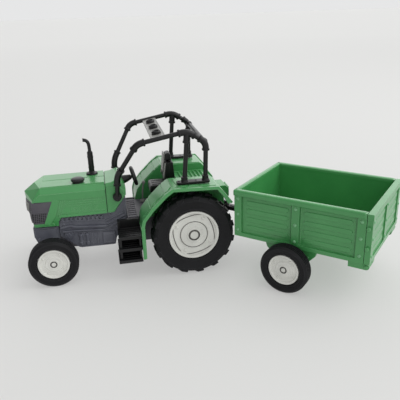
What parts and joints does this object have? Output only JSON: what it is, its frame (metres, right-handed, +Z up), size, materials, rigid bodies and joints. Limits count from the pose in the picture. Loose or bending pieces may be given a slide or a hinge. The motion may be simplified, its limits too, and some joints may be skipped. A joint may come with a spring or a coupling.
{
  "type": "toy tractor with trailer",
  "caption": "Toy farm tractor with a roll cage, rolling wheels and a steering wheel, coupled by a pin hitch to an open two-wheeled trailer with a drop tailgate.",
  "frame": {"origin": "middle of the bounding box's footprint, on the ground plane the tyres stand on", "axes": "+Z up; -X is the way the tractor's nose points, so +X runs to its rear and the trailer; +Y is the tractor's right side"},
  "size_m": [0.2196, 0.1296, 0.0875],
  "materials": {
    "green_moulding": "satin green, fine moulding texture",
    "grey_moulding": "satin slate grey",
    "dark_moulding": "satin dark grey",
    "black_moulding": "semi-gloss black",
    "light_moulding": "satin light grey",
    "rim_moulding": "satin pale grey",
    "tyre_rubber": "matt black rubber",
    "steel": "bright drawn wire"
  },
  "bodies": {
    "tractor": {"air_cleaner_cap": "black_moulding", "cab_floor": "dark_moulding", "cage_crossbar": "black_moulding", "cage_side_left": "black_moulding", "cage_side_right": "black_moulding", "cowl": "green_moulding", "engine_block": "grey_moulding", "exhaust_stack": "black_moulding", "fender_left": "green_moulding", "fender_right": "green_moulding", "front_axle_beam": "grey_moulding", "front_bolster": "grey_moulding", "gear_lever": "light_moulding", "gearbox_case": "dark_moulding", "grille_insert": "dark_moulding", "headlight_left": "light_moulding", "headlight_right": "light_moulding", "hitch_clevis": "black_moulding", "hitch_pin": "steel", "hood": "green_moulding", "light_panel": "light_moulding", "rear_axle_case": "dark_moulding", "rear_deck": "green_moulding", "roof_lamp_1": "black_moulding", "roof_lamp_2": "black_moulding", "roof_lamp_3": "black_moulding", "seat_backrest": "light_moulding", "seat_base": "black_moulding", "seat_cushion": "black_moulding", "seat_headrest": "black_moulding", "steering_column": "black_moulding", "step_left": "black_moulding", "step_right": "black_moulding"},
    "rear_wheels": {"rear_axle": "steel", "rear_rim_left": "rim_moulding", "rear_rim_right": "rim_moulding", "rear_tyre_left": "tyre_rubber", "rear_tyre_right": "tyre_rubber"},
    "front_wheels": {"front_axle": "steel", "front_rim_left": "rim_moulding", "front_rim_right": "rim_moulding", "front_tyre_left": "tyre_rubber", "front_tyre_right": "tyre_rubber"},
    "steering": {"steering_wheel": "black_moulding"},
    "trailer": {"trailer_box": "green_moulding", "trailer_drawbar": "black_moulding", "trailer_skirt_left": "green_moulding", "trailer_skirt_right": "green_moulding", "gate_bracket_left": "green_moulding", "gate_bracket_right": "green_moulding", "gate_pin_left": "steel", "gate_pin_right": "steel"},
    "trailer_wheels": {"trailer_axle": "steel", "trailer_rim_left": "rim_moulding", "trailer_rim_right": "rim_moulding", "trailer_tyre_left": "tyre_rubber", "trailer_tyre_right": "tyre_rubber"},
    "tailgate": {"tailgate": "green_moulding"}
  },
  "joints": [
    {"name": "rear_wheels_spin", "type": "hinge", "parent": "tractor", "child": "rear_wheels", "pos_m": [-0.01297, 0.02862, 0.025], "axis": [0, 1, 0], "continuous": true},
    {"name": "front_wheels_spin", "type": "hinge", "parent": "tractor", "child": "front_wheels", "pos_m": [-0.09537, 0.02862, 0.0143], "axis": [0, 1, 0], "continuous": true},
    {"name": "steering_turn", "type": "hinge", "parent": "tractor", "child": "steering", "pos_m": [-0.04397, 0.02862, 0.0544], "axis": [0.964, 0, 0.2659], "continuous": true},
    {"name": "hitch_yaw", "type": "hinge", "parent": "tractor", "child": "trailer", "pos_m": [0.01403, 0.02862, 0.028], "axis": [0, 0, 1], "range_deg": [0, 87.4]},
    {"name": "trailer_wheels_spin", "type": "hinge", "parent": "trailer", "child": "trailer_wheels", "pos_m": [0.0564, -0.01187, 0.014], "axis": [0.6909, 0.723, 0], "continuous": true},
    {"name": "tailgate_swing", "type": "hinge", "parent": "trailer", "child": "tailgate", "pos_m": [0.08676, -0.04088, 0.0228], "axis": [0.6909, 0.723, 0], "range_deg": [0, 100]}
  ]
}
